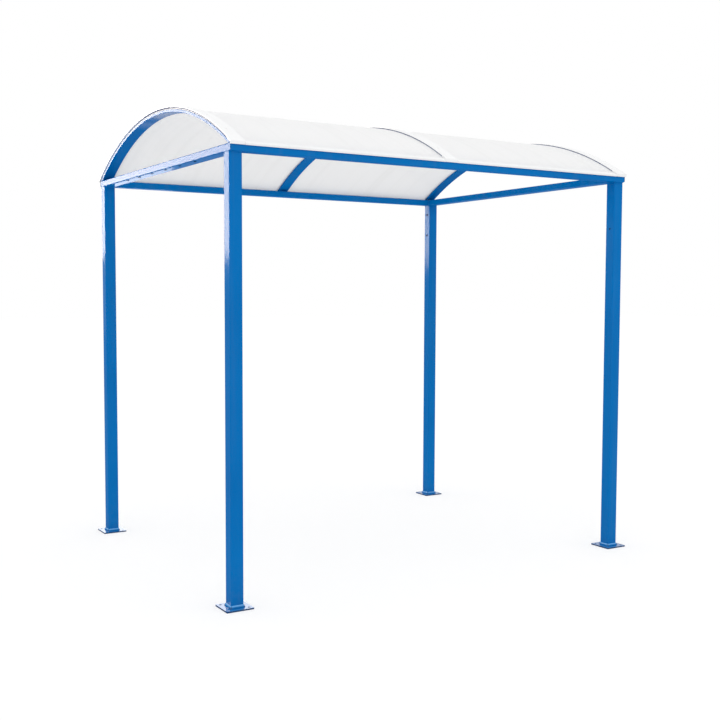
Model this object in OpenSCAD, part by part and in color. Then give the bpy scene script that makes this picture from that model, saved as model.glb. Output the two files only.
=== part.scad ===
// Open bike shelter: four square posts on base plates carry a mitred ring of
// rectangular tube, and three rolled arches on the ring carry a barrel roof of
// two translucent sheets, held down by capping strips on seals.
// X runs along the front, Y from front to back, Z up from the ground.

/* [Posts] */
// Distance between post centres along the front
post_gap_x = 2600; // [1800:10:3600]
// Distance between post centres from front to back
post_gap_y = 2000; // [1400:10:2600]
// Height from the ground to the underside of the top ring
clear_height = 2300; // [1900:10:2700]
// Outside width of the square post tube
post_w = 70; // [50:1:90]
// Wall of the post tube
post_wall = 3; // [2:0.5:5]
// Outside corner radius of the post tube
post_corner_r = 6; // [3:0.5:10]

/* [Base plates] */
// Side of the square base plate
plate_w = 150; // [130:1:200]
// Thickness of the base plate
plate_t = 8; // [5:1:15]
// Corner radius of the base plate
plate_corner_r = 4; // [1:0.5:10]
// Diameter of the two anchor holes on each plate's diagonal
anchor_hole_d = 14; // [8:0.5:18]
// Distance from the plate's edges to the centre of an anchor hole
anchor_hole_edge = 20; // [14:0.5:26]
// Width of the weld round the foot of the post, on the plate
weld_leg = 6; // [3:0.5:9]
// Height of the weld up the post
weld_rise = 12; // [4:0.5:20]

/* [Top ring] */
// Width of the rectangular ring tube, seen from above: as wide as the posts
rail_w = post_w;
// Height of the ring tube
rail_h = 40; // [30:1:60]
// Wall of the ring tube
rail_wall = 3; // [2:0.5:5]
// Outside corner radius of the ring tube
rail_corner_r = 5; // [3:0.5:8]
// How far the front and back rails stand out past the posts
rail_overhang = 14; // [0:1:25]

/* [Holes for infill panels] */
// Diameter of the panel holes
panel_hole_d = 9; // [5:0.5:12]
// Number of holes in the underside of each end rail
panel_hole_count = 6; // [2:2:8]
// Distance between neighbouring holes in an end rail
panel_hole_pitch = 220; // [60:5:240]
// Distance from an end rail's outer face to its row of holes
panel_hole_inset = 18; // [14:0.5:30]
// Distance from the underside of the ring down to the upper hole in each back post
post_hole_drop = 75; // [30:1:300]
// Distance between the two holes in a back post
post_hole_pitch = 160; // [40:5:400]

/* [Arches] */
// Width of the flat arch tube along the shelter: as wide as the posts
arch_w = post_w;
// Thickness of the arch tube, in and out from the curve's centre
arch_t = 15; // [10:0.5:25]
// Wall of the arch tube
arch_wall = 2; // [1.5:0.5:3]
// Width of the eased outside edges of the arch tube
arch_ease = 1.5; // [0.5:0.1:3]
// Rise of the arch's outer face above the ring
arch_rise = 293; // [200:1:450]

/* [Roof] */
// Thickness of the roof sheets
sheet_t = 6; // [4:0.5:16]
// Gap between the two sheets over the middle arch
sheet_gap = 6; // [2:1:20]
// Distance from an end arch's outer side to the edge of the sheet
sheet_end_inset = 2; // [0:0.5:10]
// How far the sheets stand out past the front and back rails
sheet_overhang = 6; // [5:1:30]
// Clearance between the sheets and the ring's rounded outer edge
sheet_clearance = 0.5; // [0.2:0.1:2]
// How far a seal reaches past the arch on each side
seal_lip = 2; // [0.5:0.5:4]
// Thickness of the seals
seal_t = 5; // [1.5:0.5:8]
// How far a capping strip reaches past the arch on each side
cap_lip = 5; // [4.5:0.5:12]
// Thickness of the capping strips
cap_t = 3; // [2:0.5:6]
// Width of an eave trim's upper leg, along the sheet
trim_leg = 24; // [12:1:50]
// Depth of an eave trim's lower leg, below the top of the sheet
trim_drop = 9; // [7:0.5:14]
// Thickness of the eave trims
trim_t = 2; // [1:0.5:3]
// Clearance between the eave trims and the capping strips
trim_clearance = 2; // [0.5:0.5:10]

/* [Hidden] */
// Fineness of the small circles, and of the roof's large curves
$fn = 48;
roof_fn = 720;
// Small overshoot that keeps cutting tools clear of the faces they cut
cut = 1;
// Least inside corner radius of a tube
inside_r = 0.5;
// Thickness of a weld's upper edge
weld_edge = 0.5;
// Extra sweep that an arch has before its feet are cut level, in degrees
foot_sweep = 1;

paint_blue = "#0A6CB4";
sheet_opal = "#E9EBEC";
cap_white = "#F4F5F6";
seal_black = "#2A3036";

post_x = post_gap_x / 2;
post_y = post_gap_y / 2;
ring_len = post_gap_x + post_w;
ring_depth = post_gap_y + post_w + 2 * rail_overhang;
ring_top = clear_height + rail_h;

// The sheet's underside passes the ring's rounded outer edge at its clearance,
// which sets the radius of the curve once the rise is given.
edge_y = ring_depth / 2 - rail_corner_r;
edge_drop = arch_rise + rail_corner_r;
edge_reach = rail_corner_r + sheet_clearance;
arch_r = (edge_y ^ 2 + edge_drop ^ 2 - edge_reach ^ 2) / (2 * (edge_drop - edge_reach));
arch_centre_z = ring_top + arch_rise - arch_r;
foot_angle = acos((ring_top - arch_centre_z) / arch_r);
eave_angle = asin((ring_depth / 2 + sheet_overhang) / arch_r);

sheet_r = arch_r + sheet_t;
seal_r = sheet_r + seal_t;
cap_r = seal_r + cap_t;
seal_w = arch_w + 2 * seal_lip;
cap_w = arch_w + 2 * cap_lip;
end_arch_x = ring_len / 2 - arch_w / 2;
sheet_end_x = ring_len / 2 - sheet_end_inset;

// Rectangle about the origin with round corners
module rounded_rect(w, h, r) {
    square([w - 2 * r, h], center = true);
    square([w, h - 2 * r], center = true);
    for (sx = [-1, 1], sy = [-1, 1])
        translate([sx * (w / 2 - r), sy * (h / 2 - r)]) circle(r = r);
}

// Section of a rectangular tube about the origin
module tube_section(w, h, r, wall) {
    difference() {
        rounded_rect(w, h, r);
        rounded_rect(w - 2 * wall, h - 2 * wall, max(r - wall, inside_r));
    }
}

// Sweeps a section about the roof's axis, to the same angle on both sides of
// the top. The section's X is the radius and its Y the place along the shelter.
module sweep_over_roof(half_angle) {
    translate([0, 0, arch_centre_z])
        rotate([0, 90, 0])
            rotate([0, 0, 180 - half_angle])
                rotate_extrude(angle = 2 * half_angle, $fn = roof_fn) children();
}

// Curved layer of the roof between two radii and two places along the shelter
module roof_layer(r_in, r_out, x_from, x_to) {
    sweep_over_roof(eave_angle)
        translate([r_in, x_from]) square([r_out - r_in, x_to - x_from]);
}

module post() {
    translate([0, 0, plate_t])
        linear_extrude(height = clear_height - plate_t)
            tube_section(post_w, post_w, post_corner_r, post_wall);
}

// Back post, with two panel holes in its face towards +X
module back_post() {
    upper_z = clear_height - post_hole_drop;
    difference() {
        post();
        for (z = [upper_z, upper_z - post_hole_pitch])
            translate([post_w / 2 - post_wall - cut, 0, z])
                rotate([0, 90, 0])
                    cylinder(d = panel_hole_d, h = post_wall + 2 * cut);
    }
}

// Side view of the weld: wide on the plate, thin where it ends on the post
module weld_outline() {
    low = post_w / 2 + weld_leg;
    high = post_w / 2 + weld_edge;
    polygon([[-low, 0], [low, 0], [high, weld_rise], [-high, weld_rise]]);
}

module weld() {
    span = post_w + 2 * weld_leg;
    difference() {
        intersection() {
            rotate([90, 0, 0]) linear_extrude(height = span, center = true) weld_outline();
            rotate([90, 0, 90]) linear_extrude(height = span, center = true) weld_outline();
        }
        translate([0, 0, -cut])
            linear_extrude(height = weld_rise + 2 * cut)
                rounded_rect(post_w, post_w, post_corner_r);
    }
}

module base_plate() {
    hole_x = plate_w / 2 - anchor_hole_edge;
    difference() {
        linear_extrude(height = plate_t) rounded_rect(plate_w, plate_w, plate_corner_r);
        for (side = [-1, 1])
            translate([side * hole_x, -side * hole_x, -cut])
                cylinder(d = anchor_hole_d, h = plate_t + 2 * cut);
    }
    translate([0, 0, plate_t]) weld();
}

// Ring tube along X with its outer face on Y = 0, cut to a mitre at both ends
module rail(length) {
    intersection() {
        translate([0, rail_w / 2, rail_h / 2])
            rotate([90, 0, 90])
                linear_extrude(height = length + 2 * cut, center = true)
                    tube_section(rail_w, rail_h, rail_corner_r, rail_wall);
        translate([0, 0, -cut])
            linear_extrude(height = rail_h + 2 * cut)
                polygon([
                    [-length / 2, 0], [length / 2, 0],
                    [length / 2 - rail_w, rail_w], [rail_w - length / 2, rail_w]
                ]);
    }
}

module long_rail() {
    translate([0, -ring_depth / 2, clear_height]) rail(ring_len);
}

// End rail on the left, with its row of panel holes in the underside
module end_rail() {
    first_y = -panel_hole_pitch * (panel_hole_count - 1) / 2;
    difference() {
        translate([-ring_len / 2, 0, clear_height]) rotate([0, 0, -90]) rail(ring_depth);
        for (i = [0 : panel_hole_count - 1])
            translate([panel_hole_inset - ring_len / 2, first_y + i * panel_hole_pitch, clear_height - cut])
                cylinder(d = panel_hole_d, h = rail_wall + 2 * cut);
    }
}

// Section of the flat arch tube, with eased edges and a rectangular inside
module arch_section() {
    half_t = arch_t / 2;
    half_w = arch_w / 2;
    flat_t = half_t - arch_ease;
    flat_w = half_w - arch_ease;
    difference() {
        polygon([
            [half_t, -flat_w], [half_t, flat_w], [flat_t, half_w], [-flat_t, half_w],
            [-half_t, flat_w], [-half_t, -flat_w], [-flat_t, -half_w], [flat_t, -half_w]
        ]);
        square([arch_t - 2 * arch_wall, arch_w - 2 * arch_wall], center = true);
    }
}

// Rolled arch with its feet cut level to stand on the ring
module arch(x) {
    difference() {
        sweep_over_roof(foot_angle + foot_sweep)
            translate([arch_r - arch_t / 2, x])
                arch_section();
        translate([x - arch_w, -ring_depth, 0])
            cube([2 * arch_w, 2 * ring_depth, ring_top]);
    }
}

// Roof sheet of the left bay, from the end arch to the middle one
module roof_sheet() {
    roof_layer(arch_r, sheet_r, -sheet_end_x, -sheet_gap / 2);
}

module seal(x) {
    roof_layer(sheet_r, seal_r, x - seal_w / 2, x + seal_w / 2);
}

module capping_strip(x) {
    roof_layer(seal_r, cap_r, x - cap_w / 2, x + cap_w / 2);
}

// Section of an eave trim, with its inner corner on the sheet's lower edge
module trim_section() {
    polygon([
        [0, 0], [0, -trim_leg], [trim_t, -trim_leg],
        [trim_t, trim_t], [-trim_drop, trim_t], [-trim_drop, 0]
    ]);
}

// Angle trim over the lower front edge of the left sheet, between the capping
// strips: one leg lies on the sheet, the other closes its end.
module eave_trim() {
    from_x = cap_w / 2 + trim_clearance - end_arch_x;
    length = end_arch_x - cap_w - 2 * trim_clearance;
    translate([0, 0, arch_centre_z])
        rotate([0, 90, 0])
            rotate([0, 0, 180 + eave_angle])
                translate([sheet_r, 0, from_x])
                    linear_extrude(height = length) trim_section();
}

module at_post(side_x, side_y) {
    translate([side_x * post_x, side_y * post_y, 0]) children();
}

module front_left_post() { color(paint_blue) at_post(-1, -1) post(); }
module front_right_post() { color(paint_blue) at_post(1, -1) post(); }
module back_left_post() { color(paint_blue) at_post(-1, 1) back_post(); }
module back_right_post() { color(paint_blue) at_post(1, 1) mirror([1, 0, 0]) back_post(); }

module front_left_base_plate() { color(paint_blue) at_post(-1, -1) base_plate(); }
module front_right_base_plate() { color(paint_blue) at_post(1, -1) base_plate(); }
module back_left_base_plate() { color(paint_blue) at_post(-1, 1) base_plate(); }
module back_right_base_plate() { color(paint_blue) at_post(1, 1) base_plate(); }

module front_rail() { color(paint_blue) long_rail(); }
module back_rail() { color(paint_blue) mirror([0, 1, 0]) long_rail(); }
module left_end_rail() { color(paint_blue) end_rail(); }
module right_end_rail() { color(paint_blue) mirror([1, 0, 0]) end_rail(); }

module left_arch() { color(paint_blue) arch(-end_arch_x); }
module middle_arch() { color(paint_blue) arch(0); }
module right_arch() { color(paint_blue) arch(end_arch_x); }

module left_roof_sheet() { color(sheet_opal) roof_sheet(); }
module right_roof_sheet() { color(sheet_opal) mirror([1, 0, 0]) roof_sheet(); }

module left_seal() { color(seal_black) seal(-end_arch_x); }
module middle_seal() { color(seal_black) seal(0); }
module right_seal() { color(seal_black) seal(end_arch_x); }

module left_capping_strip() { color(cap_white) capping_strip(-end_arch_x); }
module middle_capping_strip() { color(cap_white) capping_strip(0); }
module right_capping_strip() { color(cap_white) capping_strip(end_arch_x); }

module front_left_eave_trim() { color(cap_white) eave_trim(); }
module front_right_eave_trim() { color(cap_white) mirror([1, 0, 0]) eave_trim(); }
module back_left_eave_trim() { color(cap_white) mirror([0, 1, 0]) eave_trim(); }
module back_right_eave_trim() { color(cap_white) mirror([1, 0, 0]) mirror([0, 1, 0]) eave_trim(); }

front_left_post();
front_right_post();
back_left_post();
back_right_post();
front_left_base_plate();
front_right_base_plate();
back_left_base_plate();
back_right_base_plate();
front_rail();
back_rail();
left_end_rail();
right_end_rail();
left_arch();
middle_arch();
right_arch();
left_roof_sheet();
right_roof_sheet();
left_seal();
middle_seal();
right_seal();
left_capping_strip();
middle_capping_strip();
right_capping_strip();
front_left_eave_trim();
front_right_eave_trim();
back_left_eave_trim();
back_right_eave_trim();
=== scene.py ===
# %% [markdown]
# An open bike shelter: blue powder-coated steel tube below, a barrel roof of
# opal cellular sheet above. The exact solids come packed in one frame, in
# metres, with X along the front, Y from front to back and Z up. They stay as
# they are. This lesson dresses them: each gets a finish made of shader nodes,
# and the small things that a welder and a roofer leave behind, such as beads,
# screws, clips and grommets, are modelled on top of them.

# %% The frame
import math
import random

import bmesh
import bpy
from mathutils import Matrix, Vector


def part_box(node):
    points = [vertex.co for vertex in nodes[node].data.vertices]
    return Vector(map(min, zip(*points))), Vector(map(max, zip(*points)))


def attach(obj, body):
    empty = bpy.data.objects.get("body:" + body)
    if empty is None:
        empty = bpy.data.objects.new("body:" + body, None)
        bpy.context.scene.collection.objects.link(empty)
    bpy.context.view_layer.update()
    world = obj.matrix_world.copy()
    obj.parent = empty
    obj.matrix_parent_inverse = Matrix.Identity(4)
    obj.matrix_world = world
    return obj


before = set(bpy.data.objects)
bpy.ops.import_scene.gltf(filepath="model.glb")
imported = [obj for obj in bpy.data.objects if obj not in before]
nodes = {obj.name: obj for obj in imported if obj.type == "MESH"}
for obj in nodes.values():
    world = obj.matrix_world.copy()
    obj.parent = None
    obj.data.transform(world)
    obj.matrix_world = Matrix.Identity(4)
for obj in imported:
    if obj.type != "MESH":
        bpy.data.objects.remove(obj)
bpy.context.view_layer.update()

MM = 0.001


print("solids loaded:", len(nodes))

# %% [markdown]
# The camera stands to the left of the front, at eye height, and looks along
# the shelter. It could be aimed with a constraint, but three turns, about the
# vertical, about its own side and about its view, say the same in numbers
# that can be read. The Standard view keeps each colour as it is written.

# %% The camera
EYE = (-3.4394, -5.7669, 1.5929)
YAW, PITCH, ROLL = 0.5436, -0.0627, 0.0035
LENS, SENSOR = 51.717, 36.0
FARTHEST = 300.0

eye_data = bpy.data.cameras.new("eye")
eye_data.lens = LENS
eye_data.sensor_width = SENSOR
eye_data.clip_end = FARTHEST
eye = bpy.data.objects.new("eye", eye_data)
bpy.context.collection.objects.link(eye)
turn = (
    Matrix.Rotation(-YAW, 3, "Z")
    @ Matrix.Rotation(math.pi / 2 + PITCH, 3, "X")
    @ Matrix.Rotation(ROLL, 3, "Z")
)
eye.matrix_world = Matrix.Translation(EYE) @ turn.to_4x4()
bpy.context.scene.camera = eye
bpy.context.scene.view_settings.view_transform = "Standard"
print("camera at", EYE, "lens", round(LENS, 1), "mm")

# %% [markdown]
# Node trees are easier to follow when one line makes a node and sets its
# values. The first two helpers do that, for materials, for the world and for
# the groups that come later. A value may be a number, a colour or the output
# of another node, which is then linked. The next two make the nodes that come
# up most, and the last turns a colour as it is read off a screen to the
# linear values of a shader.

# %% Helpers for nodes
def put(tree, socket, value):
    if isinstance(value, bpy.types.NodeSocket):
        tree.links.new(value, socket)
    else:
        socket.default_value = value


def add(tree, kind, inputs=None, **settings):
    node = tree.nodes.new(kind)
    for key, value in settings.items():
        setattr(node, key, value)
    for key, value in (inputs or {}).items():
        put(tree, node.inputs[key], value)
    return node


def math_node(tree, operation, a, b=0.0, clamp=False):
    node = add(tree, "ShaderNodeMath", {0: a, 1: b}, operation=operation, use_clamp=clamp)
    return node.outputs[0]


def blend_colours(tree, factor, a, b, mode="MIX"):
    # This node has sockets of one name for each kind of data; 6 and 7 are its colours.
    mix = add(tree, "ShaderNodeMix", data_type="RGBA", blend_type=mode)
    for socket, value in ((mix.inputs[0], factor), (mix.inputs[6], a), (mix.inputs[7], b)):
        put(tree, socket, value)
    return mix.outputs[2]


def srgb(red, green, blue):
    def linear(v):
        v /= 255
        return v / 12.92 if v <= 0.04045 else ((v + 0.055) / 1.055) ** 2.4
    return (linear(red), linear(green), linear(blue), 1.0)


print("helpers ready; mid grey is", [round(v, 3) for v in srgb(128, 128, 128)[:3]])

# %% [markdown]
# The floor and the backdrop are one pale studio. A plain white world could do
# for both, but then one value would set what is seen and what lights the
# paint. The Light Path node keeps the two apart: the camera, a reflection and
# a sheet that lets light through find white there, and the shelter gets its
# own measure of light. The floor still darkens under the roof, because half
# of its white is light that it really receives.

# %% The pale studio
WHITE = (1, 1, 1, 1)
SKY_LIGHT, SKY_WHITE = 1.05, 1.0
FLOOR_BOUNCE, FLOOR_SHADE, FLOOR_GLOW = 0.9, 0.5, 0.5
FLOOR_REACH = 60


def grey(level):
    return (level, level, level, 1)


def split_by_view(tree, lit, seen):
    """Mixes what lights the shelter with what is seen, by the kind of ray."""
    path = add(tree, "ShaderNodeLightPath").outputs
    direct = math_node(tree, "MAXIMUM", path["Is Camera Ray"], path["Is Glossy Ray"])
    direct = math_node(tree, "MAXIMUM", direct, path["Is Transmission Ray"])
    shaders = {0: direct, 1: lit.outputs[0], 2: seen.outputs[0]}
    return add(tree, "ShaderNodeMixShader", shaders).outputs[0]


world = bpy.data.worlds.new("studio")
bpy.context.scene.world = world
world.use_nodes = True
sky = world.node_tree
sky.nodes.clear()
sky_lit = add(sky, "ShaderNodeBackground", {"Color": WHITE, "Strength": SKY_LIGHT})
sky_seen = add(sky, "ShaderNodeBackground", {"Color": WHITE, "Strength": SKY_WHITE})
add(sky, "ShaderNodeOutputWorld", {"Surface": split_by_view(sky, sky_lit, sky_seen)})

floor_coat = bpy.data.materials.new("pale_floor")
floor_coat.use_nodes = True
tree = floor_coat.node_tree
tree.nodes.clear()
floor_lit = add(tree, "ShaderNodeBsdfDiffuse", {"Color": grey(FLOOR_BOUNCE)})
floor_dull = add(tree, "ShaderNodeBsdfDiffuse", {"Color": grey(FLOOR_SHADE)})
floor_glow = add(tree, "ShaderNodeEmission", {"Color": WHITE, "Strength": FLOOR_GLOW})
floor_seen = add(tree, "ShaderNodeAddShader", {0: floor_dull.outputs[0], 1: floor_glow.outputs[0]})
add(tree, "ShaderNodeOutputMaterial", {"Surface": split_by_view(tree, floor_lit, floor_seen)})

bm = bmesh.new()
bmesh.ops.create_grid(bm, x_segments=4, y_segments=4, size=FLOOR_REACH)
floor_mesh = bpy.data.meshes.new("floor")
bm.to_mesh(floor_mesh)
bm.free()
floor = bpy.data.objects.new("floor", floor_mesh)
bpy.context.collection.objects.link(floor)
floor_mesh.materials.append(floor_coat)
print("floor of", round(floor.dimensions.x), "m square")

# %% [markdown]
# Soft lamps finish the studio. A wide one above the front gives the shelter
# its shape. The other three are panels that only gloss can see: as plain
# lamps they would brighten the blue itself. The high one behind on the left
# is mirrored by faces turned to the left, which pale towards the top on the
# real shelter. It is a warm white, because plain white on top of the blue
# would run past the brightest blue a picture can hold. It stops above head
# height, so the lower parts of the posts keep their blue. The wide one behind
# whitens the tops of the left base plates, and the small one the far half of
# the left end rail's underside.

# %% Soft lamps
def soft_lamp(name, place, aim, size, radiance, colour=(1, 1, 1), gloss_only=True):
    data = bpy.data.lights.new(name, "AREA")
    data.shape = "RECTANGLE"
    data.size, data.size_y = size
    data.energy = radiance * math.pi * size[0] * size[1]
    data.color = colour
    lamp = bpy.data.objects.new(name, data)
    bpy.context.collection.objects.link(lamp)
    way = (Vector(aim) - Vector(place)).to_track_quat("-Z", "Y")
    lamp.matrix_world = Matrix.Translation(place) @ way.to_matrix().to_4x4()
    lamp.visible_camera = False
    lamp.visible_diffuse = not gloss_only
    print(name, "gives", round(data.energy), "W")


WARM_WHITE = (1.0, 0.91, 0.81)
soft_lamp(
    "front_lamp", place=(-1.5, -7.5, 6.5), aim=(0, 0, 1.2), size=(5.0, 4.0),
    radiance=0.7, gloss_only=False,
)
soft_lamp(
    "left_panel", place=(-4.55, 7.6, 3.4), aim=(-1.0, -0.6, 3.2), size=(2.6, 2.6),
    radiance=34.0, colour=WARM_WHITE,
)
soft_lamp(
    "back_panel", place=(0.75, 9.5, 3.2), aim=(0, 0, 0.5), size=(10.5, 4.6), radiance=1.5,
)
soft_lamp(
    "low_panel", place=(0.2, 5.5, 1.78), aim=(-1.3, 0.5, 2.3), size=(1.25, 0.5), radiance=14.0,
)

# %% [markdown]
# Powder coat is sprayed on dry and baked, and it flows into a fine orange
# peel. A group holds that skin, so that tubes, plates and welds share it: one
# output is the height of the peel, for the bump, the other a slow drift of
# tone, because no sprayed coat is even over three metres.

# %% Group: skin of a powder coat
VECTOR, FLOAT = "NodeSocketVector", "NodeSocketFloat"


def new_group(name, inputs, outputs):
    group = bpy.data.node_groups.new(name, "ShaderNodeTree")
    for label, kind, value in inputs:
        socket = group.interface.new_socket(label, in_out="INPUT", socket_type=kind)
        if value is not None:
            socket.default_value = value
    for label, kind in outputs:
        group.interface.new_socket(label, in_out="OUTPUT", socket_type=kind)
    return group, add(group, "NodeGroupInput").outputs, add(group, "NodeGroupOutput").inputs


def noise(tree, place, scale, detail):
    inputs = {"Vector": place, "Scale": scale, "Detail": detail}
    return add(tree, "ShaderNodeTexNoise", inputs).outputs[0]


def ranged(tree, value, start, end, first=0.0, last=1.0, ease="LINEAR"):
    """Goes from first to last as value goes from start to end, and no further."""
    limits = {"Value": value, "From Min": start, "From Max": end, "To Min": first, "To Max": last}
    return add(tree, "ShaderNodeMapRange", limits, interpolation_type=ease).outputs[0]


coat_skin, given, result = new_group(
    "coat_skin",
    [("Vector", VECTOR, None), ("Peel Scale", FLOAT, 260.0), ("Drift Scale", FLOAT, 2.2)],
    [("Peel", FLOAT), ("Drift", FLOAT)],
)
peel = noise(coat_skin, given["Vector"], given["Peel Scale"], detail=2.0)
drift = noise(coat_skin, given["Vector"], given["Drift Scale"], detail=3.0)
put(coat_skin, result["Peel"], peel)
put(coat_skin, result["Drift"], ranged(coat_skin, drift, start=0.3, end=0.7))
print("group", coat_skin.name, "has", len(coat_skin.nodes), "nodes")

# %% [markdown]
# Rain carries a little dirt up from the ground: it splashes the posts' feet
# and thins out by knee height. The mask falls with the height above the floor
# and is broken up by noise. It could be painted by hand, but the height is
# already in the Object coordinates, since every solid stands where it stands.

# %% Group: splash from the ground
def axis_of(tree, vector, axis):
    return add(tree, "ShaderNodeSeparateXYZ", {0: vector}).outputs[axis]


ground_splash, given, result = new_group(
    "ground_splash",
    [("Vector", VECTOR, None), ("Reach", FLOAT, 0.35), ("Amount", FLOAT, 0.5)],
    [("Mask", FLOAT)],
)
height = axis_of(ground_splash, given["Vector"], "Z")
low = ranged(ground_splash, height, start=given["Reach"], end=0.0, ease="SMOOTHSTEP")
specks = noise(ground_splash, given["Vector"], scale=38.0, detail=6.0)
broken = ranged(ground_splash, specks, start=0.4, end=0.75)
mask = math_node(ground_splash, "MULTIPLY", low, broken)
mask = math_node(ground_splash, "MULTIPLY", mask, given["Amount"], clamp=True)
put(ground_splash, result["Mask"], mask)
print("group", ground_splash.name, "has", len(ground_splash.nodes), "nodes")

# %% [markdown]
# Water that runs off leaves streaks along its way down. They could be painted
# on too, but noise that is squeezed across the fall line and stretched along
# it gives them without a seam. The Stretch input says which way that is: down
# the posts it is Z, and over the barrel roof it is the curve, so there only X
# is squeezed.

# %% Group: rain streaks
rain_streaks, given, result = new_group(
    "rain_streaks",
    [("Vector", VECTOR, None), ("Stretch", VECTOR, (30.0, 30.0, 1.0)), ("Amount", FLOAT, 0.5)],
    [("Mask", FLOAT)],
)
along = add(
    rain_streaks, "ShaderNodeVectorMath", {0: given["Vector"], 1: given["Stretch"]},
    operation="MULTIPLY",
).outputs[0]
lines = noise(rain_streaks, along, scale=1.0, detail=4.0)
strong = ranged(rain_streaks, lines, start=0.5, end=0.78)
mask = math_node(rain_streaks, "MULTIPLY", strong, given["Amount"], clamp=True)
put(rain_streaks, result["Mask"], mask)
print("group", rain_streaks.name, "has", len(rain_streaks.nodes), "nodes")

# %% [markdown]
# A sprayed coat settles differently on each side of a piece: it flows out
# smooth on a level top, and it stays thin and dull where the gun hardly
# reaches. Each side could have a material of its own, but the arches curve
# from one side into the next. So a group turns the tilt of a face, the Z of
# its normal, into two masks: how glossy the face is, from its underside over
# its slopes and sides to its top, and how far its colour goes over to a
# second colour. That second colour is painted light and shade by tilt: a
# painted highlight on the slopes of the beads, painted shade on the upright
# sides of the plates. Each finish places the group with its own values.

# %% Group: gloss and painted light by tilt
SLOPE_TILTS, UNDER_TILTS, TOP_TILTS = (-0.8, -0.4), (-1.0, -0.985), (0.3, 0.95)

tilt_gloss, given, result = new_group(
    "tilt_gloss",
    [
        ("Normal", VECTOR, None), ("Under", FLOAT, 0.02), ("Slope", FLOAT, 0.12),
        ("Side", FLOAT, 0.12), ("Top", FLOAT, 0.12),
        ("Tint Start", FLOAT, 0.5), ("Tint End", FLOAT, 1.0),
    ],
    [("Gloss", FLOAT), ("Tint", FLOAT)],
)
up = axis_of(tilt_gloss, given["Normal"], "Z")
more_under = math_node(tilt_gloss, "SUBTRACT", given["Under"], given["Slope"])
more_on_top = math_node(tilt_gloss, "SUBTRACT", given["Top"], given["Side"])
gloss = ranged(tilt_gloss, up, *SLOPE_TILTS, first=given["Slope"], last=given["Side"])
under_part = ranged(tilt_gloss, up, *UNDER_TILTS, first=more_under, last=0.0)
top_part = ranged(tilt_gloss, up, *TOP_TILTS, first=0.0, last=more_on_top)
for part in (under_part, top_part):
    gloss = math_node(tilt_gloss, "ADD", gloss, part)
put(tilt_gloss, result["Gloss"], gloss)
# Tint: how far a face goes over to a second colour, painted light and shade by its tilt
put(tilt_gloss, result["Tint"], ranged(tilt_gloss, up, given["Tint Start"], given["Tint End"]))
print("group", tilt_gloss.name, "has", len(tilt_gloss.nodes), "nodes")

# %% [markdown]
# The steel is one deep blue under a thin gloss, set on the shader's coat. A
# function makes the finish, because the tubes, arches, plates and welds wear
# it differently, and a few words in a table say how. The base colour drifts
# and takes a little splash near the ground and faint streaks. The plates'
# tops are the glossiest. By the tilt of a face the colour goes over to a
# second one: the plates' upright sides are painted darker, as painted shade,
# and the upward slopes of the beads paler, as a painted highlight.

# %% The blue powder coat
BLUE, DEEP_BLUE = srgb(0, 109, 181), srgb(0, 103, 174)
# A painted shade for the plates' upright sides and a painted highlight for the beads' slopes.
PLATE_SIDE_SHADE, BEAD_SLOPE_HIGHLIGHT = srgb(8, 58, 104), srgb(112, 178, 232)
DIRT = srgb(122, 118, 108)
COAT_HAZE, PLATE_HAZE, PLATE_IOR = 0.12, 0.06, 2.0


def use_group(tree, group, **inputs):
    node = add(tree, "ShaderNodeGroup", node_tree=group)
    for key, value in inputs.items():
        put(tree, node.inputs[key.replace("_", " ")], value)
    return node.outputs


def scaled(tree, value, factor, start):
    """start + factor x value"""
    inputs = {0: value, 1: factor, 2: start}
    return add(tree, "ShaderNodeMath", inputs, operation="MULTIPLY_ADD").outputs[0]


def raise_bump(tree, shader, height, strength, depth):
    inputs = {"Height": height, "Strength": strength, "Distance": depth}
    put(tree, shader.inputs["Normal"], add(tree, "ShaderNodeBump", inputs).outputs[0])


def new_finish(name):
    finish = bpy.data.materials.new(name)
    finish.use_nodes = True
    tree = finish.node_tree
    shader = tree.nodes["Principled BSDF"]
    place = add(tree, "ShaderNodeTexCoord").outputs["Object"]
    return finish, tree, shader, place


def blue_coat(name, splash, peel_depth, tint=BLUE, **tilts):
    finish, tree, shader, place = new_finish(name)
    skin = use_group(tree, coat_skin, Vector=place)
    dirt = use_group(tree, ground_splash, Vector=place, Amount=splash)["Mask"]
    streak = use_group(tree, rain_streaks, Vector=place, Amount=0.05)["Mask"]
    soiled = math_node(tree, "MAXIMUM", dirt, streak)
    way = add(tree, "ShaderNodeNewGeometry").outputs["Normal"]
    tilt = use_group(tree, tilt_gloss, Normal=way, **tilts)
    tone = blend_colours(tree, skin["Drift"], BLUE, DEEP_BLUE)
    # Painted light and shade: by the tilt of the face the colour goes over to a second one.
    tone = blend_colours(tree, tilt["Tint"], tone, tint)
    put(tree, shader.inputs["Base Color"], blend_colours(tree, soiled, tone, DIRT))
    put(tree, shader.inputs["Roughness"], scaled(tree, soiled, factor=0.4, start=0.3))
    put(tree, shader.inputs["Coat Weight"], tilt["Gloss"])
    shader.inputs["Coat Roughness"].default_value = COAT_HAZE
    shader.inputs["Specular IOR Level"].default_value = 0.0
    raise_bump(tree, shader, skin["Peel"], strength=0.08, depth=peel_depth)
    print("finish", name, "has", len(tree.nodes), "nodes")
    return finish


ARCHED = {"Under": 0.75, "Slope": 0.06, "Side": 0.14}
# The beads' upward slopes go over to a pale sky blue: a painted highlight.
BEADED = {"tint": BEAD_SLOPE_HIGHLIGHT, "Top": 0.3, "Tint_Start": 0.25, "Tint_End": 0.55}
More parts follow.
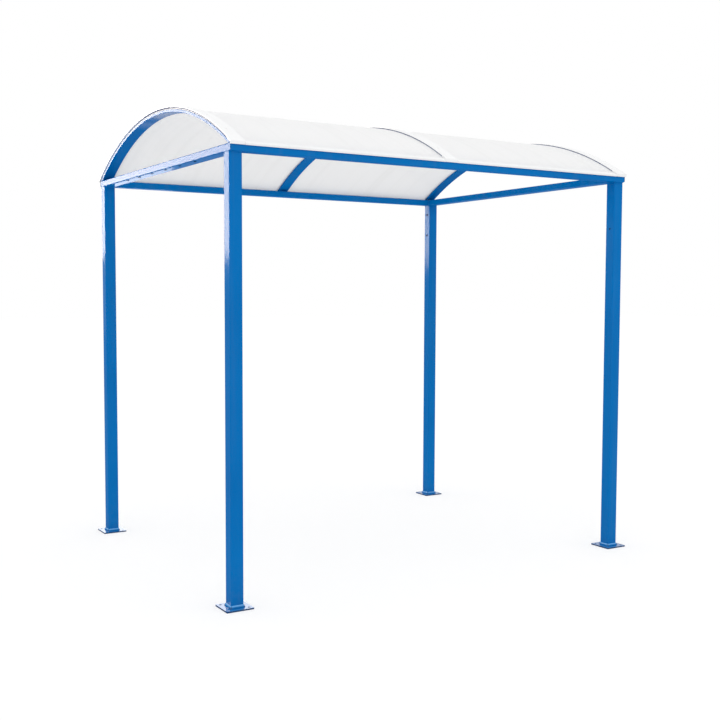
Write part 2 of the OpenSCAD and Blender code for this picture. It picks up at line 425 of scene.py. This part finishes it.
# The plates' upright sides go over to a dark navy: painted shade.
PLATED = {"tint": PLATE_SIDE_SHADE, "Top": 1.0, "Tint_Start": 0.9, "Tint_End": 0.2}
tube_blue = blue_coat("tube_blue", splash=0.06, peel_depth=0.2 * MM)
end_rail_blue = blue_coat("end_rail_blue", splash=0.06, peel_depth=0.1 * MM, Under=0.08)
arch_blue = blue_coat("arch_blue", splash=0.06, peel_depth=0.1 * MM, **ARCHED)
bead_blue = blue_coat("bead_blue", splash=0.08, peel_depth=0.4 * MM, **BEADED)
plate_blue = blue_coat("plate_blue", splash=0.10, peel_depth=0.2 * MM, **PLATED)
plate_shader = plate_blue.node_tree.nodes["Principled BSDF"]
plate_shader.inputs["Coat IOR"].default_value = PLATE_IOR
plate_shader.inputs["Coat Roughness"].default_value = PLATE_HAZE

# %% [markdown]
# The roof is opal polycarbonate with hollow cells that run over the curve.
# From outside it is plain white, from below it glows, because the sky comes
# through. A Translucent shader beside the Principled one carries that light,
# with a larger share where a face looks down. The cells could be modelled,
# but only their walls show through the milk, every ten millimetres, as faint
# lines. Those are counted off from the X coordinate.

# %% The opal sheet
CELL, WALL_SHARE, WALL_TONE = 10 * MM, 0.25, 0.12
MILK, MILK_AT_WALLS = grey(0.96), (0.78, 0.79, 0.81, 1)
RUN_OFF, OUTER_SHADE = (0.7, 0.7, 0.68, 1), grey(0.92)
GLOW_TILTS, GLOW_BELOW, GLOW_ABOVE = (-0.5, 0.5), 0.70, 0.25
SOFT_SPECULAR = 0.2

sheet_opal, tree, shader, place = new_finish("sheet_opal")
cell_phase = math_node(tree, "PINGPONG", axis_of(tree, place, "X"), CELL / 2)
wall_line = ranged(
    tree, cell_phase, start=0.0, end=WALL_SHARE * CELL, first=1.0, last=0.0, ease="SMOOTHSTEP",
)
streak = use_group(tree, rain_streaks, Vector=place, Stretch=(26.0, 0.7, 0.7), Amount=0.10)["Mask"]
skin = use_group(tree, coat_skin, Vector=place, Peel_Scale=45.0)
faint_walls = math_node(tree, "MULTIPLY", wall_line, WALL_TONE)
milk = blend_colours(tree, faint_walls, MILK, MILK_AT_WALLS)
tinted = blend_colours(tree, streak, milk, RUN_OFF)
shaded = blend_colours(tree, 1.0, tinted, OUTER_SHADE, mode="MULTIPLY")
put(tree, shader.inputs["Base Color"], shaded)
put(tree, shader.inputs["Roughness"], scaled(tree, skin["Drift"], factor=0.12, start=0.34))
shader.inputs["Specular IOR Level"].default_value = SOFT_SPECULAR
raise_bump(tree, shader, wall_line, strength=0.15, depth=0.2 * MM)
through = add(tree, "ShaderNodeBsdfTranslucent", {"Color": tinted})
facing_up = axis_of(tree, add(tree, "ShaderNodeNewGeometry").outputs["Normal"], "Z")
glow_share = ranged(tree, facing_up, *GLOW_TILTS, first=GLOW_BELOW, last=GLOW_ABOVE)
shaders = {0: glow_share, 1: shader.outputs[0], 2: through.outputs[0]}
shared = add(tree, "ShaderNodeMixShader", shaders).outputs[0]
put(tree, tree.nodes["Material Output"].inputs["Surface"], shared)
print("finish", sheet_opal.name, "with a cell wall every", round(CELL / MM), "mm")

# %% [markdown]
# The capping strips and the eave trims are aluminium with a white baked coat,
# which lets no light through. One flat white could do, but a faint drift of
# tone and streaks over the curve keep the long strips from looking like
# paper. The coat's skin is the steel's group again, with a finer peel.

# %% The white coat
STRIP_THICK, STRIP_THIN = (0.875, 0.88, 0.885, 1), (0.85, 0.855, 0.86, 1)
STRIP_RUN_OFF = (0.6, 0.6, 0.58, 1)

strip_white, tree, shader, place = new_finish("strip_white")
skin = use_group(tree, coat_skin, Vector=place, Peel_Scale=420.0, Drift_Scale=5.0)
streak = use_group(tree, rain_streaks, Vector=place, Stretch=(60.0, 1.2, 1.2), Amount=0.12)["Mask"]
tone = blend_colours(tree, skin["Drift"], STRIP_THICK, STRIP_THIN)
put(tree, shader.inputs["Base Color"], blend_colours(tree, streak, tone, STRIP_RUN_OFF))
put(tree, shader.inputs["Roughness"], scaled(tree, streak, factor=0.5, start=0.34))
shader.inputs["Specular IOR Level"].default_value = SOFT_SPECULAR
raise_bump(tree, shader, skin["Peel"], strength=0.2, depth=0.2 * MM)
print("finish", strip_white.name, "has", len(tree.nodes), "nodes")

# %% [markdown]
# The seals between sheet and strip are slate grey rubber, of which only a
# thin edge shows, and the grommets and stops that come later are nearly
# black. Rubber is matt and greys where dust settles in its pores. Towards the
# back the colour goes over to a third tone; on the seals it is a pale lavender,
# a painted sheen on the thin edges along the back slope of the roof. Both could
# be written out in full, but they differ only in colour, so one function makes
# them from three tones: fresh, dusty and one for the back.

# %% The rubbers
def rubber(name, fresh, dusty, back_tone):
    finish, tree, shader, place = new_finish(name)
    skin = use_group(tree, coat_skin, Vector=place, Peel_Scale=500.0, Drift_Scale=14.0)
    # Towards the back the colour goes over to the third tone; on the seals that is a painted
    # sheen.
    towards_back = ranged(tree, axis_of(tree, place, "Y"), start=0.0, end=0.5)
    tone = blend_colours(tree, skin["Drift"], fresh, dusty)
    put(tree, shader.inputs["Base Color"], blend_colours(tree, towards_back, tone, back_tone))
    put(tree, shader.inputs["Roughness"], scaled(tree, skin["Peel"], factor=0.2, start=0.55))
    shader.inputs["Specular IOR Level"].default_value = 0.0
    raise_bump(tree, shader, skin["Peel"], strength=0.4, depth=0.4 * MM)
    print("finish", name, "has", len(tree.nodes), "nodes")
    return finish


# The seals' back tone, a pale lavender, is a painted sheen on the back slope.
SLATE, DUSTY_SLATE, SEAL_BACK_SHEEN = srgb(108, 117, 148), srgb(120, 129, 158), srgb(178, 190, 214)
BLACK, DUSTY_BLACK, OLD_BLACK = srgb(16, 18, 24), srgb(34, 36, 42), srgb(30, 32, 38)
seal_rubber = rubber("seal_rubber", SLATE, DUSTY_SLATE, SEAL_BACK_SHEEN)
grommet_rubber = rubber("grommet_rubber", BLACK, DUSTY_BLACK, OLD_BLACK)

# %% [markdown]
# Every solid now takes its finish by what it is. They could be listed one by
# one, but the names of the nodes end in the kind of piece, so a short table
# does it. An end rail is also a rail, so it comes first.

# %% Finishes on the solids
FINISH_BY_KIND = {
    "end_rail": end_rail_blue, "post": tube_blue, "rail": tube_blue, "arch": arch_blue,
    "base_plate": plate_blue, "roof_sheet": sheet_opal, "seal": seal_rubber,
    "capping_strip": strip_white, "eave_trim": strip_white,
}
for name, solid in nodes.items():
    kind = next(k for k in FINISH_BY_KIND if name.endswith(k))
    for material_slot in solid.material_slots:
        material_slot.material = FINISH_BY_KIND[kind]
print("finishes given to", len(nodes), "solids")

# %% [markdown]
# Now the welder's work. A fillet weld is laid in short overlapping drops, so
# a bead is a small rounded section that swells and shrinks along its run. It
# could be a curve with a bevel, but a ring of vertices that is extruded step
# by step shows how a mesh grows: each step copies the ring, moves it on and
# swells it about the root of the weld. A seeded random number varies the
# drops, so that every run of the script lays the same beads.

# %% Helpers for beads
X, Y, Z = Vector((1, 0, 0)), Vector((0, 1, 0)), Vector((0, 0, 1))
FILLET = (
    (-0.08, -0.06), (1.06, -0.06), (0.95, 0.36), (0.66, 0.72), (0.22, 1.05), (-0.08, 1.05),
)
SEAM = ((-0.2, -1.0), (0.55, -0.75), (1.0, 0.0), (0.55, 0.75), (-0.2, 1.0))
DROP, LEAST_SWELL, MOST_SWELL = 3.0 * MM, 1.05, 1.14
TIP_DROPS, TIP_SHARE = 0.6, 0.55


def parts_of(geometry, kind):
    return [g for g in geometry if isinstance(g, kind)]


def start_ring(bm, root, out, up, section, leg, rise):
    ring = [bm.verts.new(root + out * (u * leg) + up * (v * rise)) for u, v in section]
    return [bm.edges.new((a, b)) for a, b in zip(ring, ring[1:] + ring[:1])]


def next_ring(bm, edges, root, step, swell):
    grown = bmesh.ops.extrude_edge_only(bm, edges=edges)["geom"]
    verts = parts_of(grown, bmesh.types.BMVert)
    bmesh.ops.translate(bm, verts=verts, vec=step)
    bmesh.ops.scale(bm, verts=verts, vec=(swell,) * 3, space=Matrix.Translation(-root - step))
    return parts_of(grown, bmesh.types.BMEdge)


def lay_drops(bm, edges, root, run, chance):
    """Extrudes the ring along run in an even number of steps, fat and thin in turn."""
    pairs = max(1, round(run.length / (2 * DROP)))
    step = run / (2 * pairs)
    for _ in range(pairs):
        fat = chance.uniform(LEAST_SWELL, MOST_SWELL)
        for swell in (fat, 1 / fat):
            edges = next_ring(bm, edges, root, step, swell)
            root = root + step
    return edges, root


def lay_bead(bm, root, run, out, up, section, leg, rise, chance):
    """Straight bead with a small closed end on both sides."""
    tip = run.normalized() * DROP * TIP_DROPS
    edges = start_ring(bm, root, out, up, section, leg * TIP_SHARE, rise * TIP_SHARE)
    bmesh.ops.contextual_create(bm, geom=edges)
    edges = next_ring(bm, edges, root, tip, 1 / TIP_SHARE)
    edges, root = lay_drops(bm, edges, root + tip, run - 2 * tip, chance)
    edges = next_ring(bm, edges, root, tip, TIP_SHARE)
    bmesh.ops.contextual_create(bm, geom=edges)


print("one drop of weld is", round(DROP / MM, 1), "mm long")

# %% [markdown]
# At each foot the post is welded to its plate all the way round. Four
# straight beads could do, but they would leave the corners open. So the bead
# runs along a side, turns the post's rounded corner with a spin of a quarter
# turn, and goes on along the next side until it meets its own start. There
# the doubled vertices are merged, and then the normals are turned outwards.

# %% Welds at the feet
CORNER_R, CORNER_STEPS = 6 * MM, 5
FOOT_LEG, FOOT_RISE = 6 * MM, 12 * MM
FOOT_SEED = 11
SAME_PLACE, CREASE = 0.01 * MM, math.radians(50)
CORNERS = [(front, side) for front in ("front", "back") for side in ("left", "right")]


def box_of(name):
    low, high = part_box(name)
    return Vector(low), Vector(high)


def finish_piece(name, bm, finish):
    bmesh.ops.remove_doubles(bm, verts=bm.verts, dist=SAME_PLACE)
    bmesh.ops.recalc_face_normals(bm, faces=bm.faces)
    mesh = bpy.data.meshes.new(name)
    bm.to_mesh(mesh)
    bm.free()
    mesh.polygons.foreach_set("use_smooth", [True] * len(mesh.polygons))
    mesh.set_sharp_from_angle(angle=CREASE)
    mesh.materials.append(finish)
    piece = bpy.data.objects.new(name, mesh)
    bpy.context.collection.objects.link(piece)
    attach(piece, "root")
    print(name, "has", len(mesh.polygons), "faces")


for number, (front, side) in enumerate(CORNERS):
    chance = random.Random(FOOT_SEED + number)
    low, high = box_of(f"{front}_{side}_post")
    centre = Vector(((low.x + high.x) / 2, (low.y + high.y) / 2, low.z))
    half = (high.x - low.x) / 2
    flat = half - CORNER_R
    bm = bmesh.new()
    out, along = X, Y
    root = centre + out * half - along * flat
    edges = start_ring(bm, root, out, Z, FILLET, FOOT_LEG, FOOT_RISE)
    for _ in range(4):
        edges, root = lay_drops(bm, edges, root, along * 2 * flat, chance)
        verts = list({v for e in edges for v in e.verts})
        turned_ring = bmesh.ops.spin(
            bm, geom=verts + edges, cent=centre + (out + along) * flat, axis=Z,
            angle=math.pi / 2, steps=CORNER_STEPS, use_merge=False,
        )["geom_last"]
        edges = parts_of(turned_ring, bmesh.types.BMEdge)
        out, along = along, -out
        root = centre + out * half - along * flat
    finish_piece(f"{front}_{side}_foot_weld", bm, bead_blue)

# %% [markdown]
# At the top the ring stands on the posts. Its front and back faces overhang
# them, which leaves room for a fillet under the rail. The sides are flush, so
# there the joint is a flat seam, a little proud of the tubes. That is why
# four single beads are laid here, and not one all the way round.

# %% Welds at the heads
HEAD_SEED = 31
HEAD_INSET, HEAD_LEG = CORNER_R * 0.7, 5 * MM
SEAM_PROUD, HEAD_SEAM_HALF = 0.9 * MM, 3 * MM
for number, (front, side) in enumerate(CORNERS):
    chance = random.Random(HEAD_SEED + number)
    low, high = box_of(f"{front}_{side}_post")
    run = high - low - Vector((2 * HEAD_INSET, 2 * HEAD_INSET, 0))
    bm = bmesh.new()
    for way, y in ((-1, low.y), (1, high.y)):
        root = Vector((low.x + HEAD_INSET, y, high.z))
        lay_bead(bm, root, X * run.x, Y * way, -Z, FILLET, HEAD_LEG, HEAD_LEG, chance)
    for way, x in ((-1, low.x), (1, high.x)):
        root = Vector((x, low.y + HEAD_INSET, high.z))
        lay_bead(bm, root, Y * run.y, X * way, Z, SEAM, SEAM_PROUD, HEAD_SEAM_HALF, chance)
    finish_piece(f"{front}_{side}_head_weld", bm, bead_blue)

# %% [markdown]
# The four rails of the ring meet in mitres. The welder closes each from
# outside along the upright corner, inside in the angle between the rails, and
# along the short piece of the mitre that shows beside the post from below.
# All of them are straight, so the same helper lays them. They could be a
# piece for each corner, but they are one, as the ring is.

# %% Welds of the ring's mitres
MITRE_SEED = 51
EDGE_GAP, SMALL_LEG = 5 * MM, 4 * MM
OUTER_SINK, OUTER_PROUD, OUTER_HALF = 0.3 * MM, 1.2 * MM, 2.2 * MM
LOWER_START, LOWER_LONG, LOWER_HALF = 6 * MM, 15 * MM, 2.4 * MM

ring_low, left_rail_high = box_of("left_end_rail")
_, ring_high = box_of("right_end_rail")
rail_width = left_rail_high.x - ring_low.x
upright = Z * (ring_high.z - ring_low.z - 2 * EDGE_GAP)
bm = bmesh.new()
chance = random.Random(MITRE_SEED)
for sx in (-1, 1):
    for sy in (-1, 1):
        tip = Vector((sx * ring_high.x, sy * ring_high.y, ring_low.z))
        inward = Vector((-sx, -sy, 0))
        diagonal = inward.normalized()
        cross = Vector((-sx, sy, 0)).normalized()
        root = tip + diagonal * OUTER_SINK + Z * EDGE_GAP
        lay_bead(bm, root, upright, -diagonal, cross, SEAM, OUTER_PROUD, OUTER_HALF, chance)
        root = tip + inward * rail_width + Z * EDGE_GAP
        lay_bead(bm, root, upright, X * -sx, Y * -sy, FILLET, SMALL_LEG, SMALL_LEG, chance)
        root = tip + diagonal * LOWER_START
        lay_bead(bm, root, diagonal * LOWER_LONG, -Z, cross, SEAM, SEAM_PROUD, LOWER_HALF, chance)
finish_piece("ring_mitre_welds", bm, bead_blue)

# %% [markdown]
# The arches stand on the ring with feet cut level. Each foot has a bead in
# the wedge on its inner face and one beside it, where there is rail to weld
# to. The wedge is narrow, so the bead's two directions aren't square: one
# follows the rail and the other the arch, tangent to its circle.

# %% Welds of the arches' feet
ARCH_SEED = 71
# Radii about the roof's axis: the arches' inner face and the strips' top.
ARCH_IN_R, CAP_R = 1.99989, 2.02889
ARCH_INSET, ARCH_LEG = 2 * MM, 9 * MM
SIDE_GAP, SIDE_LONG = 1 * MM, 21 * MM
ARCH_PLACES = ("left", "middle", "right")

AXIS_Z = box_of("middle_capping_strip")[1].z - CAP_R
foot_y = math.sqrt(ARCH_IN_R ** 2 - (ring_high.z - AXIS_Z) ** 2)
foot_slope = math.asin(foot_y / ARCH_IN_R)
for number, name in enumerate(ARCH_PLACES):
    chance = random.Random(ARCH_SEED + number)
    low, high = box_of(f"{name}_arch")
    across = X * (high.x - low.x - 2 * ARCH_INSET)
    bm = bmesh.new()
    for sy in (-1, 1):
        inward = Y * -sy
        climb = Vector((0, -sy * math.cos(foot_slope), math.sin(foot_slope)))
        root = Vector((low.x + ARCH_INSET, sy * foot_y, ring_high.z))
        lay_bead(bm, root, across, inward, climb, FILLET, ARCH_LEG, ARCH_LEG, chance)
        for sx, x in ((-1, low.x), (1, high.x)):
            if abs(x) < ring_high.x - SIDE_GAP:
                root = Vector((x, sy * (foot_y + SIDE_GAP), ring_high.z))
                run = inward * -SIDE_LONG
                lay_bead(bm, root, run, X * sx, Z, FILLET, SMALL_LEG, SMALL_LEG, chance)
    finish_piece(f"{name}_arch_welds", bm, bead_blue)
print("the arches meet the ring at", round(math.degrees(foot_slope), 1), "degrees")

# %% [markdown]
# Screws with a broad washer press each capping strip down on its seal. A
# screw could be put together from cylinders, but their walls would cross
# inside it. So one profile, from the socket in the head to the washer's rim,
# is spun round once and then copied along the strip, turned so that it stands
# square on the curve. None sits on the very top, where water would lie round
# it longest.

# %% Screws of the capping strips
SCREW_PROFILE = (
    (1.6, 1.5), (1.6, 2.7), (2.6, 2.8), (3.8, 2.3),
    (4.3, 1.3), (7.0, 1.1), (7.6, 0.6), (7.6, -0.2),
)
SCREW_DEGREES = (-27, -19.5, -12, -4.5, 4.5, 12, 19.5, 27)
ROUND_STEPS = 20


def turned(bm, profile, steps, ring=False):
    """Spins a profile of radius and height in millimetres; a ring's profile is closed."""
    verts = [bm.verts.new((r * MM, 0, z * MM)) for r, z in profile]
    following = verts[1:] + verts[:1] if ring else verts[1:]
    edges = [bm.edges.new(pair) for pair in zip(verts, following)]
    bmesh.ops.spin(
        bm, geom=verts + edges, cent=(0, 0, 0), axis=Z, angle=2 * math.pi, steps=steps,
        use_merge=True,
    )
    if not ring:
        bmesh.ops.holes_fill(bm, edges=[e for e in bm.edges if e.is_boundary])
    return bm.verts[:] + bm.edges[:] + bm.faces[:]


def on_roof(x, angle, radius):
    """Place on the barrel roof, with Z square to the curve."""
    about_axis = Matrix.Translation((x, 0, AXIS_Z)) @ Matrix.Rotation(-angle, 4, "X")
    return about_axis @ Matrix.Translation((0, 0, radius))


def copy_to(bm, model, places):
    """Copies a model to each place and then deletes the model itself."""
    for place in places:
        copied = bmesh.ops.duplicate(bm, geom=model)["geom"]
        bmesh.ops.transform(bm, matrix=place, verts=parts_of(copied, bmesh.types.BMVert))
    bmesh.ops.delete(bm, geom=parts_of(model, bmesh.types.BMVert), context="VERTS")


for name in ARCH_PLACES:
    low, high = box_of(f"{name}_capping_strip")
    middle = (low.x + high.x) / 2
    bm = bmesh.new()
    screw = turned(bm, SCREW_PROFILE, ROUND_STEPS)
    copy_to(bm, screw, [on_roof(middle, math.radians(a), CAP_R) for a in SCREW_DEGREES])
    finish_piece(f"{name}_capping_screws", bm, strip_white)

# %% [markdown]
# Panels can be hung in the holes under the end rails and in the back posts.
# Where none is hung, at the left end and in the posts, open rubber grommets
# line the holes, so that their bare edges don't rust. A torus could stand in
# for one, but it has no flat rim and no neck. So the profile of the ring is
# one closed loop of vertices, spun a full turn, and the helper has no hole to
# fill.

# %% Grommets in the panel holes
GROMMET_PROFILE = (
    (2.8, 2.2), (3.4, 2.8), (6.4, 2.8), (7.6, 2.0),
    (8.0, 0.1), (4.4, 0.1), (4.4, -2.9), (2.8, -2.9),
)
RAIL_HOLES, RAIL_HOLE_PITCH, RAIL_HOLE_INSET = 6, 220 * MM, 18 * MM
POST_HOLE_DROPS = (75 * MM, 235 * MM)


def under_left_rail(y):
    place = (ring_low.x + RAIL_HOLE_INSET, y, ring_low.z)
    return Matrix.Translation(place) @ Matrix.Rotation(math.pi, 4, "X")


def on_post(front, side, drop):
    """Place on a post's inner face, a drop below its top, with Z square to the face."""
    low, high = box_of(f"{front}_{side}_post")
    sx, face_x = (1, high.x) if side == "left" else (-1, low.x)
    place = (face_x, (low.y + high.y) / 2, high.z - drop)
    return Matrix.Translation(place) @ Matrix.Rotation(sx * math.pi / 2, 4, "Y")


row = [(i - (RAIL_HOLES - 1) / 2) * RAIL_HOLE_PITCH for i in range(RAIL_HOLES)]
bm = bmesh.new()
grommet = turned(bm, GROMMET_PROFILE, ROUND_STEPS, ring=True)
copy_to(bm, grommet, [under_left_rail(y) for y in row])
finish_piece("left_end_rail_grommets", bm, grommet_rubber)
for side in ("left", "right"):
    bm = bmesh.new()
    grommet = turned(bm, GROMMET_PROFILE, ROUND_STEPS, ring=True)
    copy_to(bm, grommet, [on_post("back", side, drop) for drop in POST_HOLE_DROPS])
    finish_piece(f"back_{side}_post_grommets", bm, grommet_rubber)

# %% [markdown]
# On its inner side each front post has one small dark rubber stop, which
# keeps a handlebar off the paint. Half a ball could do, but a stop is flatter
# and has an upright rim. It is closed, unlike a grommet, so the helper turns
# it from a plain domed profile, as it does the screws.

# %% Stops on the front posts
STOP_PROFILE = ((0.7, 2.6), (2.6, 2.4), (4.4, 1.6), (5.2, 0.5), (5.2, -0.2))
STOP_DROP = 288 * MM
for side in ("left", "right"):
    bm = bmesh.new()
    stop = turned(bm, STOP_PROFILE, ROUND_STEPS)
    copy_to(bm, stop, [on_post("front", side, STOP_DROP)])
    finish_piece(f"front_{side}_post_stop", bm, grommet_rubber)

# %% [markdown]
# At the eaves each strip ends in a small folded clip that covers the cut ends
# of the strip, the seal and the sheets. It starts as one flat face. Three of
# its edges are extruded downwards, each on its own, as a folding press would
# bend three flaps, the folds are rounded with a bevel, and solidify gives the
# thin sheet its thickness. Last it is set square to the curve.

# %% End clips of the capping strips
# Radii about the same axis: the sheets' top and the lower edge of the clips.
SHEET_R, CLIP_FOOT_R = 2.02089, 2.0119
CLIP_SIDE, CLIP_END = CAP_R - SHEET_R, CAP_R - CLIP_FOOT_R
CLIP_LONG, CLIP_T, CLIP_FIT = 50 * MM, 1.0 * MM, 0.3 * MM
FOLD_R, FOLD_STEPS = 0.8 * MM, 2
eave_angle = math.asin(box_of("left_roof_sheet")[1].y / SHEET_R)


def folded_clip(bm, width):
    """Clip round a strip's end, with the strip's top at z = 0 and its end at y = 0."""
    half = width / 2
    corners = ((-half, -CLIP_LONG, 0), (half, -CLIP_LONG, 0), (half, 0, 0), (-half, 0, 0))
    top = bm.faces.new([bm.verts.new(corner) for corner in corners])
    _, right, end, left = top.edges
    for edge, drop in ((right, CLIP_SIDE), (left, CLIP_SIDE), (end, CLIP_END)):
        flap = bmesh.ops.extrude_edge_only(bm, edges=[edge])["geom"]
        bmesh.ops.translate(bm, verts=parts_of(flap, bmesh.types.BMVert), vec=-Z * drop)
    bmesh.ops.recalc_face_normals(bm, faces=bm.faces)
    bmesh.ops.bevel(
        bm, geom=[right, left, end], offset=FOLD_R, affect="EDGES", segments=FOLD_STEPS,
        profile=0.5, material=-1,
    )
    bmesh.ops.solidify(bm, geom=bm.faces[:], thickness=-CLIP_T)
    return bm.verts[:] + bm.edges[:] + bm.faces[:]


fit = Matrix.Translation((0, CLIP_FIT, CLIP_FIT))
turned_about = Matrix.Rotation(math.pi, 4, "Z")
for name in ARCH_PLACES:
    low, high = box_of(f"{name}_capping_strip")
    middle = (low.x + high.x) / 2
    at_back = on_roof(middle, eave_angle, CAP_R) @ fit
    at_front = on_roof(middle, -eave_angle, CAP_R) @ turned_about @ fit
    bm = bmesh.new()
    clip = folded_clip(bm, high.x - low.x + 2 * CLIP_FIT)
    copy_to(bm, clip, [at_back, at_front])
    finish_piece(f"{name}_capping_clips", bm, strip_white)
print("the strips end", round(math.degrees(eave_angle), 1), "degrees down the curve")

# %% [markdown]
# The eave trims are riveted through the sheet, and five small heads on each
# are enough. A ball pressed flat could stand in for a head, but a rivet keeps
# a small pit where its stem broke off. So the heads come from the screws'
# helper, with a flatter profile that holds the pit.

# %% Rivets of the eave trims
RIVET_PROFILE = ((0.9, 1.0), (0.9, 1.6), (2.2, 1.5), (3.4, 0.9), (3.9, 0.0), (3.9, -0.2))
RIVETS, RIVET_STEPS = 5, 14
RIVET_MARGIN, RIVET_BACK, TRIM_T = 70 * MM, 13 * MM, 2 * MM
for front, side in CORNERS:
    low, high = box_of(f"{front}_{side}_eave_trim")
    sy = -1 if front == "front" else 1
    pitch = (high.x - low.x - 2 * RIVET_MARGIN) / (RIVETS - 1)
    row = [low.x + RIVET_MARGIN + i * pitch for i in range(RIVETS)]
    back = Matrix.Translation((0, -sy * RIVET_BACK, TRIM_T))
    bm = bmesh.new()
    rivet = turned(bm, RIVET_PROFILE, RIVET_STEPS)
    copy_to(bm, rivet, [on_roof(x, sy * eave_angle, SHEET_R) @ back for x in row])
    finish_piece(f"{front}_{side}_trim_rivets", bm, strip_white)
